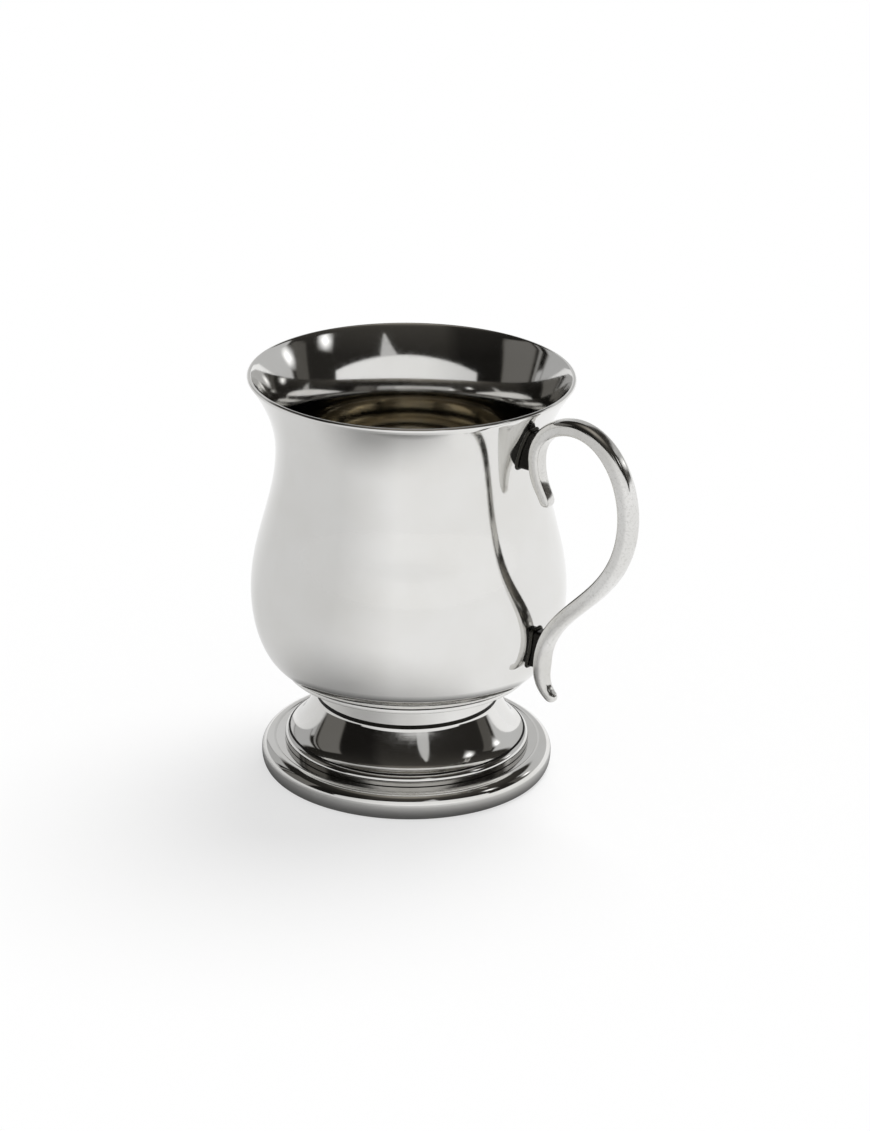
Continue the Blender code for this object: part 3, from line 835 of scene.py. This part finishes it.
def pewter(name, colour, tarnish, amount, dullness, marks, depth):
    """A metal with clouds of tarnish, whose marks(tree, place) are cut to a depth.

    The colour and the dullness are each a plain value or a function of (tree, place).
    """
    material = bpy.data.materials.new(name)
    material.use_nodes = True
    tree = material.node_tree
    shader = tree.nodes["Principled BSDF"]
    shader.inputs["Metallic"].default_value = 1.0
    place = put(tree, "ShaderNodeTexCoord").outputs["Object"]
    base = colour(tree, place) if callable(colour) else colour
    cloud = spread(tree, noise(tree, place, CLOUD_SCALE, 3.0), *CLOUD_RANGE, 0.0, 1.0)
    tarnish_share = combine(tree, "MULTIPLY", cloud, amount)
    tree.links.new(blend_colour(tree, tarnish_share, base, tarnish), shader.inputs["Base Color"])
    wear = spread(tree, noise(tree, place, WEAR_SCALE, 4.0), *WEAR_RANGE, *WEAR_SWING)
    base_dullness = dullness(tree, place) if callable(dullness) else dullness
    tree.links.new(combine(tree, "MULTIPLY", wear, base_dullness), shader.inputs["Roughness"])
    bump = put(tree, "ShaderNodeBump")
    bump.inputs["Distance"].default_value = depth
    bump.inputs["Strength"].default_value = 1.0
    tree.links.new(marks(tree, place), bump.inputs["Height"])
    tree.links.new(bump.outputs["Normal"], shader.inputs["Normal"])
    print("finish", name)
    return material


# %% Draw the marks of the lathe and of the mould
RING_STRETCH = (40.0, 40.0, 2500.0)
SCRATCH_STRETCH = (300.0, 2600.0, 500.0)
RING_WEIGHT = 0.7
SCRATCH_WEIGHT = 0.3
PIT_SCALE = 1600.0
WAVE_SCALE = 350.0
PIT_WEIGHT = 0.4
WAVE_WEIGHT = 0.6


def spin_marks(tree, place):
    """Faint rings that run round the axis, and a few stray scratches."""
    rings = noise(tree, place, 1.0, 2.0, RING_STRETCH)
    scratches = noise(tree, place, 1.0, 3.0, SCRATCH_STRETCH)
    return weighed_sum(tree, rings, RING_WEIGHT, scratches, SCRATCH_WEIGHT)


def cast_marks(tree, place):
    """Small soft pits and a slow unevenness."""
    pits = noise(tree, place, PIT_SCALE, 3.0)
    waves = noise(tree, place, WAVE_SCALE, 2.0)
    return weighed_sum(tree, pits, PIT_WEIGHT, waves, WAVE_WEIGHT)


# %% Give each piece its finish
BRIGHT = (0.77, 0.765, 0.75)
DULLED = (0.70, 0.69, 0.66)
DARK = (0.20, 0.19, 0.17)
CAST_DULLED = (0.60, 0.59, 0.56)
# The lugs' near-black is painted shade, for the shadow and dark reflections round the handle's
# ends.
LUG_SHADE_COLOUR = (0.02, 0.019, 0.017)
LUG_DARKER_SHADE = (0.01, 0.0095, 0.008)
# The solder is dull and dark, and darker still as painted shade round the lugs.
SOLDER_AND_SHADE_COLOUR = (0.045, 0.043, 0.037)
SOLDER_AND_SHADE_TARNISH = (0.02, 0.019, 0.016)
DARK_PIT_SCALE = 2100.0
DARK_PIT_RANGE = (0.5, 0.74)
DARK_PIT_SHARE = 0.26


def pitted(tree, place):
    """Bright pewter with small dark pits that polish does not reach."""
    pits = noise(tree, place, DARK_PIT_SCALE, 3.0)
    share = spread(tree, pits, *DARK_PIT_RANGE, 0.0, DARK_PIT_SHARE)
    return blend_colour(tree, share, BRIGHT, DARK)


bowl_finish = pewter(
    "polished_pewter", BRIGHT, DULLED,
    amount=0.5, dullness=0.075, marks=spin_marks, depth=0.000002,
)
foot_finish = pewter(
    "foot_pewter", BRIGHT, DULLED,
    amount=0.7, dullness=0.07, marks=spin_marks, depth=0.0000015,
)
handle_finish = pewter(
    "cast_pewter_finish", pitted, CAST_DULLED,
    amount=0.8, dullness=0.12, marks=cast_marks, depth=0.000009,
)
lug_shade_finish = pewter(
    "lug_painted_shade", LUG_SHADE_COLOUR, LUG_DARKER_SHADE,
    amount=1.0, dullness=0.22, marks=cast_marks, depth=0.00001,
)
solder_and_shade_finish = pewter(
    "dull_solder_and_painted_shade", SOLDER_AND_SHADE_COLOUR, SOLDER_AND_SHADE_TARNISH,
    amount=1.0, dullness=0.3, marks=cast_marks, depth=0.00001,
)
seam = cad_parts["foot_seam_solder"]
finishes = {
    bowl: bowl_finish,
    foot: foot_finish,
    handle: handle_finish,
    upper_lug: lug_shade_finish,
    lower_lug: lug_shade_finish,
    upper_bead: solder_and_shade_finish,
    lower_bead: solder_and_shade_finish,
    seam: solder_and_shade_finish,
}
for piece, finish in finishes.items():
    piece.data.materials.clear()
    piece.data.materials.append(finish)
print("finished", len(finishes), "pieces")

# %% [markdown]
# Polish reaches the outside best.  The inside of the bowl is warmer and duller, more so
# towards its bottom.  The foot's groove, seam and corners are blackened, partly with black
# that has settled where no cloth reaches and partly with painted shade: thin painted dark
# lines on the step stand for small beads and undercuts that are not modelled, and a grey band
# on the step's riser is painted shade too.  Each is a further finish on some faces of the
# same piece, picked by where they are.

# %% Finish the bowl's inside
GOLDEN = (0.90, 0.83, 0.68)
GOLDEN_BELOW = 0.048
PLAIN_ABOVE = 0.066
DEEP_DULLNESS = 0.10
INSIDE_DULLNESS = 0.08


def by_depth(tree, place, deep, high):
    """A value that changes from deep in the bowl to near its mouth."""
    return spread(tree, along(tree, place, upright), GOLDEN_BELOW, PLAIN_ABOVE, deep, high)


def golden_below(tree, place):
    """A colour that turns golden deep in the bowl."""
    return blend_colour(tree, by_depth(tree, place, 0.0, 1.0), GOLDEN, BRIGHT)


def duller_below(tree, place):
    """A dullness that grows deep in the bowl."""
    return by_depth(tree, place, DEEP_DULLNESS, INSIDE_DULLNESS)


def finish_faces(piece, finish, wanted):
    """Give a further finish to the faces for which wanted(radius, height) is true."""
    piece.data.materials.append(finish)
    count = 0
    for face in piece.data.polygons:
        middle = face.center - AXIS
        if wanted(math.hypot(middle.x, middle.y), middle.z):
            face.material_index = len(piece.data.materials) - 1
            count += 1
    print(finish.name, "on", count, "faces")


def in_bowl(radius, height):
    """Whether a face lies on the inside of the bowl's wall or bottom."""
    in_wall = radius < bowl_radius(height) - BOWL_WALL / 2
    return in_wall and BOTTOM_HEIGHT + BOWL_WALL / 2 < height < RIM_HEIGHT - LIP_ROUNDING / 2


inside_finish = pewter(
    "inside_pewter", golden_below, DULLED,
    amount=0.6, dullness=duller_below, marks=spin_marks, depth=0.000002,
)
finish_faces(bowl, inside_finish, in_bowl)

# %% Blacken the foot's groove, seam and corners with settled black and painted shade
FACE_REACH = 0.0001
STEP_LINE = 0.0004
STEP_LINE_INSET = 0.0007
ROLL_LINE_RISE = 0.0012
BLACK = (0.02, 0.019, 0.016)
BLACK_TARNISH = (0.01, 0.01, 0.009)
STEP_SHADE_GREY = (0.52, 0.51, 0.49)
STEP_SHADE_CLOUDS = (0.40, 0.39, 0.37)

step_edge = STEP_RADIUS - STEP_LINE_INSET
roll_line = LEDGE_HEIGHT + ROLL_LINE_RISE
grime_and_shade_top = LEDGE_HEIGHT + CORNER_GRIME_AND_SHADE
# Rings of settled black and painted shade: the flange's top under the bowl, the neck's groove, and
# painted dark lines on the step's roll, riser and corner.
grime_and_shade_rings = (
    (COVE_TOP_RADIUS, FLANGE_RADIUS, FOOT_TOP - FACE_REACH, FOOT_TOP),
    (NECK_RADIUS - FACE_REACH, NECK_RADIUS + FACE_REACH, NECK_HEIGHT, NECK_HEIGHT + GROOVE_HEIGHT),
    (step_edge - STEP_LINE, step_edge, STEP_TOP - STEP_LINE, STEP_TOP + STEP_LINE / 2),
    (STEP_RADIUS - FACE_REACH, STEP_RADIUS, roll_line - FACE_REACH, roll_line + FACE_REACH),
    (STEP_RADIUS - FACE_REACH, STEP_RADIUS, LEDGE_HEIGHT, grime_and_shade_top),
)
# A grey band of painted shade on the step's riser, between the dark corner and the dark line above
# it.
step_shade_rings = ((STEP_RADIUS - FACE_REACH, STEP_RADIUS, grime_and_shade_top, roll_line - FACE_REACH),)


def in_rings(rings):
    """A test for faces in any of some rings, each given by two radii and two heights."""

    def wanted(radius, height):
        return any(a <= radius <= b and c <= height <= d for a, b, c, d in rings)

    return wanted


grime_and_shade_finish = pewter(
    "settled_black_and_painted_shade", BLACK, BLACK_TARNISH,
    amount=1.0, dullness=0.5, marks=cast_marks, depth=0.00002,
)
step_shade_finish = pewter(
    "step_painted_shade", STEP_SHADE_GREY, STEP_SHADE_CLOUDS,
    amount=1.0, dullness=0.12, marks=spin_marks, depth=0.000002,
)
finish_faces(foot, grime_and_shade_finish, in_rings(grime_and_shade_rings))
finish_faces(foot, step_shade_finish, in_rings(step_shade_rings))

# %% [markdown]
# ## The studio
#
# A polished mug shows the room more than itself.  In the photograph it stands on white,
# and a white screen curves round the camera's side of it, about thirty degrees high.  Above
# the screen the room is dark, with a window and two lamps, and grey walls stand behind.
# Most dark shapes in the metal are that room; the rest are painted shade on the foot, the
# lugs and the solder.  Screens could be modelled one by one, but the world can hold the whole
# room for the metal alone, while the camera sees plain white.
#
# The floor is real and takes the mug's shadow.  A share of white glow, painted light, keeps
# that shadow light for the camera, and the metal sees the floor with a painted shadow by the
# foot and painted shade on the left.

# %% Lay the floor
WHITE = (1.0, 1.0, 1.0)
FLOOR_SIZE = 8.0
FLOOR_COLOUR = (0.95, 0.95, 0.95)
LEFT_SHADE_COLOUR = (0.72, 0.72, 0.72)
CONTACT_SHADOW_COLOUR = (0.24, 0.24, 0.24)
CONTACT_REACH = 0.038
SEEN_LIGHTENING = 0.62
MIRRORED_LIGHTENING = 0.2
FAR_LEFT = -0.82
NEAR_LEFT = -0.17

let_go()
bpy.ops.mesh.primitive_plane_add(size=FLOOR_SIZE, location=AXIS)
floor = bpy.context.object
floor.name = "floor"
floor_paint = bpy.data.materials.new("floor_paint")
floor_paint.use_nodes = True
paint = floor_paint.node_tree
paint.nodes.clear()
floor_rays = put(paint, "ShaderNodeLightPath")
in_camera = floor_rays.outputs["Is Camera Ray"]
in_metal = floor_rays.outputs["Is Glossy Ray"]
floor_place = put(paint, "ShaderNodeTexCoord").outputs["Object"]
outwards = put(paint, "ShaderNodeVectorMath", operation="NORMALIZE")
paint.links.new(floor_place, outwards.inputs[0])
rightwards = along(paint, outwards.outputs["Vector"], to_right)
leftness = spread(paint, rightwards, FAR_LEFT, NEAR_LEFT, 1.0, 0.0)
distance_out = put(paint, "ShaderNodeVectorMath", operation="LENGTH")
paint.links.new(floor_place, distance_out.inputs[0])
# The metal sees a painted shadow on the floor close to the foot and painted shade on its left.
nearness = spread(paint, distance_out.outputs["Value"], FOOT_RADIUS, CONTACT_REACH, 1.0, 0.0)
left_share = combine(paint, "MULTIPLY", leftness, in_metal)
near_share = combine(paint, "MULTIPLY", nearness, in_metal)
open_floor = blend_colour(paint, left_share, FLOOR_COLOUR, LEFT_SHADE_COLOUR)
floor_shown = blend_colour(paint, near_share, open_floor, CONTACT_SHADOW_COLOUR)
matt = put(paint, "ShaderNodeBsdfDiffuse")
paint.links.new(floor_shown, matt.inputs["Color"])
# The glow is painted light: white for the camera and the floor's painted colour for the metal,
# lightening the shadow both see.
glow = put(paint, "ShaderNodeEmission")
paint.links.new(blend_colour(paint, in_metal, WHITE, floor_shown), glow.inputs["Color"])
lightening = weighed_sum(paint, in_camera, SEEN_LIGHTENING, in_metal, MIRRORED_LIGHTENING)
mixed = put(paint, "ShaderNodeMixShader")
paint.links.new(lightening, mixed.inputs["Fac"])
paint.links.new(matt.outputs["BSDF"], mixed.inputs[1])
paint.links.new(glow.outputs["Emission"], mixed.inputs[2])
floor_surface = put(paint, "ShaderNodeOutputMaterial").inputs["Surface"]
paint.links.new(mixed.outputs["Shader"], floor_surface)
floor.data.materials.append(floor_paint)
print("floor laid")

# %% [markdown]
# The room is painted by turn and elevation, in degrees as seen from the mug, where a turn
# of zero faces the camera and positive turns go to its right.  An image of a room would be
# quicker, but a few soft-edged shapes say what each reflection is.

# %% Helpers for painting the room
world = bpy.data.worlds.new("studio")
bpy.context.scene.world = world
world.use_nodes = True
sky = world.node_tree
sky.nodes.clear()
direction = put(sky, "ShaderNodeTexCoord").outputs["Generated"]
rightness = along(sky, direction, to_right)
turn_angle = combine(sky, "ARCTAN2", rightness, along(sky, direction, to_front))
rise_angle = combine(sky, "ARCSINE", along(sky, direction, upright))
turn_shown = combine(sky, "DEGREES", turn_angle)
elevation_shown = combine(sky, "DEGREES", rise_angle)


def above(value, limit, softness):
    """1 where the value is above the limit and 0 where it is below, with a soft step."""
    excess = combine(sky, "SUBTRACT", value, limit)
    return spread(sky, excess, -softness / 2, softness / 2, 0.0, 1.0)


def patch(low, high, left, right, level, softness):
    """A light patch; left and right are its turns at its lowest and highest elevation."""
    left_edge = spread(sky, elevation_shown, low, high, *left)
    right_edge = spread(sky, elevation_shown, low, high, *right)
    shape = above(turn_shown, left_edge, softness)
    for upper, lower in ((right_edge, turn_shown), (elevation_shown, low), (high, elevation_shown)):
        shape = combine(sky, "MULTIPLY", shape, above(upper, lower, softness))
    return combine(sky, "MULTIPLY", shape, level)


print("ready to paint the room")

# %% Paint the low wall and the screen
SCREEN_MIDDLE = 5.5
SCREEN_REACH = 61.5
SCREEN_HEIGHT = 31.5
SCREEN_FALL = 14.5
SCREEN_LEVEL = 0.92
SCREEN_TOP_SOFTNESS = 1.5
SCREEN_SIDE_SOFTNESS = 0.03
LOW_WALL_TOP = 8.0
LOW_WALL_SOFTNESS = 2.0
LEFT_LEVEL = 0.75

low_wall = above(LOW_WALL_TOP, elevation_shown, LOW_WALL_SOFTNESS)
reach = combine(sky, "DIVIDE", combine(sky, "SUBTRACT", turn_shown, SCREEN_MIDDLE), SCREEN_REACH)
fall = combine(sky, "MULTIPLY", combine(sky, "MULTIPLY", reach, reach), SCREEN_FALL)
screen_top = combine(sky, "SUBTRACT", SCREEN_HEIGHT, fall)
screen = above(screen_top, elevation_shown, SCREEN_TOP_SOFTNESS)
screen_sides = above(1.0, combine(sky, "ABSOLUTE", reach), SCREEN_SIDE_SOFTNESS)
screen = combine(sky, "MULTIPLY", combine(sky, "MULTIPLY", screen, screen_sides), SCREEN_LEVEL)
walls = combine(sky, "MAXIMUM", low_wall, screen)
left_dimming = spread(sky, rightness, FAR_LEFT, NEAR_LEFT, LEFT_LEVEL, 1.0)
shown = combine(sky, "MULTIPLY", walls, left_dimming)
print("screen painted")

# %% [markdown]
# The rest of the room is a table of patches.  Each row says how low and how high a patch
# reaches, where its left and its right edge stand at those two heights, how bright it is
# and how soft its edges are.

# %% Paint the room's patches and its ceiling
ROOM_PATCHES = {
    "window": (26, 47, (8.5, 25), (28, 26.5), 0.55, 1.5),
    "nearer lamp": (33, 40, (73, 73), (81, 81), 2.2, 7.0),
    "further lamp": (17, 24, (108, 108), (116, 116), 2.2, 7.0),
    "wall behind on the right": (7, 35, (111, 111), (185, 185), 0.57, 3.0),
    "dark wall on the right": (7, 32, (94, 94), (107, 107), 0.07, 2.0),
    "dark wall on the left": (7, 38, (-109, -109), (-80, -80), 0.14, 3.0),
    "post on the left": (7, 36, (-115, -115), (-112, -112), 0.25, 1.5),
    "ledge on the left": (7, 14, (-121, -121), (-115, -115), 0.45, 2.0),
    "grey wall on the left": (7, 35, (-150, -150), (-121, -121), 0.45, 3.0),
    "wall behind on the left": (7, 35, (-185, -185), (-150, -150), 0.66, 6.0),
}
DARK_TURNS = (-42.0, -28.0)
DARK_LEFT_SHARE = 0.45
UPPER_WALL_START = 30.0
CEILING_START = 58.0
ZENITH = 90.0
UPPER_WALL_LEVELS = (0.02, 0.055)
ZENITH_LEVEL = 0.4

for numbers in ROOM_PATCHES.values():
    shown = combine(sky, "MAXIMUM", shown, patch(*numbers))
left_darkness = spread(sky, turn_shown, *DARK_TURNS, DARK_LEFT_SHARE, 1.0)
upper_level = spread(sky, elevation_shown, UPPER_WALL_START, CEILING_START, *UPPER_WALL_LEVELS)
upper_walls = combine(sky, "MULTIPLY", upper_level, left_darkness)
ceiling_glow = spread(sky, elevation_shown, CEILING_START, ZENITH, 0.0, ZENITH_LEVEL)
ceiling = combine(sky, "ADD", upper_walls, ceiling_glow)
print("room painted with", len(ROOM_PATCHES), "patches")

# %% Light the floor from the world and show the room to the metal
AMBIENT = 0.42
CEILING_COLOUR = (1.07, 1.0, 0.89)
WARM_BELOW = 0.3

rays = put(sky, "ShaderNodeLightPath")
mirrored = rays.outputs["Is Glossy Ray"]
plain = combine(sky, "MAXIMUM", rays.outputs["Is Camera Ray"], rays.outputs["Is Transmission Ray"])
room = combine(sky, "ADD", shown, ceiling)
strength = combine(sky, "ADD", plain, combine(sky, "MULTIPLY", mirrored, room))
unseen = combine(sky, "SUBTRACT", 1.0, combine(sky, "MAXIMUM", plain, mirrored))
lit = combine(sky, "MULTIPLY", unseen, AMBIENT)
warmth = combine(sky, "MULTIPLY", mirrored, spread(sky, shown, 0.0, WARM_BELOW, 1.0, 0.0))
background = put(sky, "ShaderNodeBackground")
sky.links.new(blend_colour(sky, warmth, WHITE, CEILING_COLOUR), background.inputs["Color"])
sky.links.new(combine(sky, "ADD", strength, lit), background.inputs["Strength"])
world_surface = put(sky, "ShaderNodeOutputWorld").inputs["Surface"]
sky.links.new(background.outputs["Background"], world_surface)
print("world has", len(sky.nodes), "nodes")

# %% [markdown]
# The key light is high behind the mug on its right, so the shadow is short and falls
# towards the camera's left.  A lamp near the mug would light only the near floor, and the
# far floor would show as a grey ring in the bowl.  A sun lights both alike, and a wide one
# keeps the shadow soft.  The metal isn't allowed to see the lamp, only what it lights.

# %% Set the key light
KEY_TURN = math.radians(142)
KEY_ELEVATION = math.radians(62)
KEY_WIDTH = math.radians(40)
KEY_STRENGTH = 2.25


def towards(turn, elevation):
    """The direction at a turn to the camera's right and an elevation, as seen from the mug."""
    level = to_front * math.cos(turn) + to_right * math.sin(turn)
    return level * math.cos(elevation) + upright * math.sin(elevation)


key_way = towards(KEY_TURN, KEY_ELEVATION)
bpy.ops.object.light_add(type="SUN", location=AXIS + key_way)
key = bpy.context.object
key.name = "key"
key.data.angle = KEY_WIDTH
key.data.energy = KEY_STRENGTH
key.rotation_mode = "QUATERNION"
key.rotation_quaternion = key_way.to_track_quat("Z", "Y")
key.visible_glossy = False
print("key light at", [round(value, 3) for value in key.location])

# %% [markdown]
# ## Last setting
#
# Colours are shown with the plain view transform.

# %% Show colours with the plain view transform
bpy.context.scene.view_settings.view_transform = "Standard"
